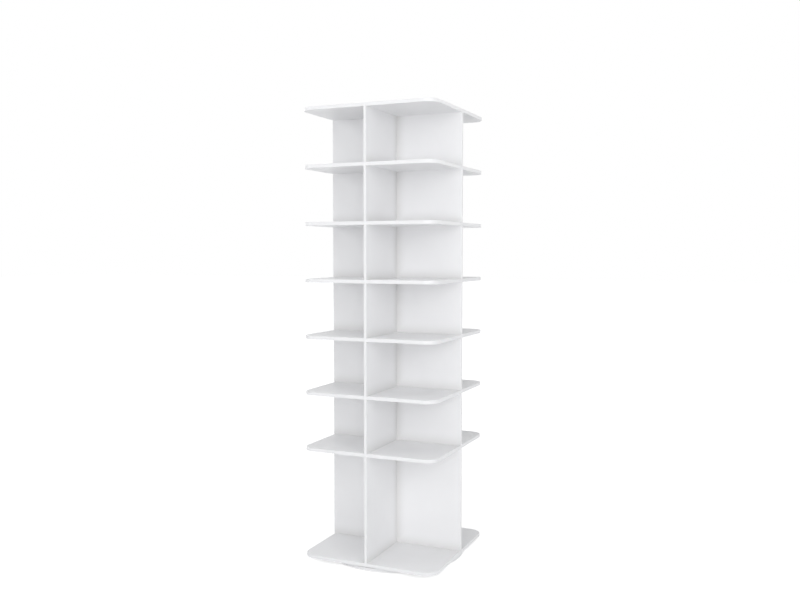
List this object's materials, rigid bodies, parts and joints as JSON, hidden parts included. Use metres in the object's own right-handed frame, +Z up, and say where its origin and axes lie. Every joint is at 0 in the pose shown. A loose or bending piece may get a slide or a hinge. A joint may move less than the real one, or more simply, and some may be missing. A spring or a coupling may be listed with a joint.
{
  "type": "rotating shoe tower",
  "caption": "Tall white shoe tower: square shelves with rounded corners on cross-shaped dividers, turning all the way round on a flat round base disc.",
  "frame": {"origin": "on the floor, on the upright axis that the tower turns about", "axes": "+Z up; the dividers stand along X and Y; the long dividers run along Y, and -Y is called front"},
  "size_m": [0.5066, 0.5066, 1.583],
  "materials": {
    "white_board": "particle board faced with satin white melamine",
    "edge_band": "satin white edge band, 0.8 mm",
    "zinc_steel": "bright zinc plate",
    "ball_steel": "polished hardened steel",
    "ring_aluminium": "turned, satin",
    "cage_nylon": "natural nylon",
    "foot_rubber": "moulded, matt",
    "beech_dowel": "raw beech",
    "plug_plastic": "moulded, satin white"
  },
  "bodies": {
    "base": {"foot_pads": "foot_rubber", "foot_screws": "zinc_steel", "base_disc": "white_board", "base_disc_edge_band": "edge_band", "bearing_inner_ring": "ring_aluminium", "inner_ring_screws": "zinc_steel"},
    "ball_cage": {"bearing_balls": "ball_steel", "bearing_ball_cage": "cage_nylon"},
    "tower": {"base_board": "white_board", "base_board_edge_band": "edge_band", "base_board_screws": "zinc_steel", "bearing_outer_ring": "ring_aluminium", "cross_dowels": "beech_dowel", "divider_edge_bands": "edge_band", "end_dowels": "beech_dowel", "outer_ring_screws": "zinc_steel", "shelf_1": "white_board", "shelf_1_edge_band": "edge_band", "shelf_2": "white_board", "shelf_2_edge_band": "edge_band", "shelf_3": "white_board", "shelf_3_edge_band": "edge_band", "shelf_4": "white_board", "shelf_4_edge_band": "edge_band", "shelf_5": "white_board", "shelf_5_edge_band": "edge_band", "shelf_6": "white_board", "shelf_6_edge_band": "edge_band", "shelf_dowels": "beech_dowel", "shelf_screws": "zinc_steel", "tier_1_left_divider": "white_board", "tier_1_long_divider": "white_board", "tier_1_right_divider": "white_board", "tier_2_left_divider": "white_board", "tier_2_long_divider": "white_board", "tier_2_right_divider": "white_board", "tier_3_left_divider": "white_board", "tier_3_long_divider": "white_board", "tier_3_right_divider": "white_board", "tier_4_left_divider": "white_board", "tier_4_long_divider": "white_board", "tier_4_right_divider": "white_board", "tier_5_left_divider": "white_board", "tier_5_long_divider": "white_board", "tier_5_right_divider": "white_board", "tier_6_left_divider": "white_board", "tier_6_long_divider": "white_board", "tier_6_right_divider": "white_board", "tier_7_left_divider": "white_board", "tier_7_long_divider": "white_board", "tier_7_right_divider": "white_board", "top_board": "white_board", "top_board_edge_band": "edge_band", "top_board_screws": "zinc_steel", "top_screw_plugs": "plug_plastic"}
  },
  "joints": [
    {"name": "tower_spin", "type": "hinge", "parent": "base", "child": "tower", "pos_m": [0, 0, 0.016], "axis": [0, 0, 1], "continuous": true},
    {"name": "ball_cage_spin", "type": "hinge", "parent": "base", "child": "ball_cage", "pos_m": [0, 0, 0.016], "axis": [0, 0, 1], "continuous": true}
  ],
  "couplings": [
    {"joint": "ball_cage_spin", "follows": "tower_spin", "ratio": 0.5}
  ]
}
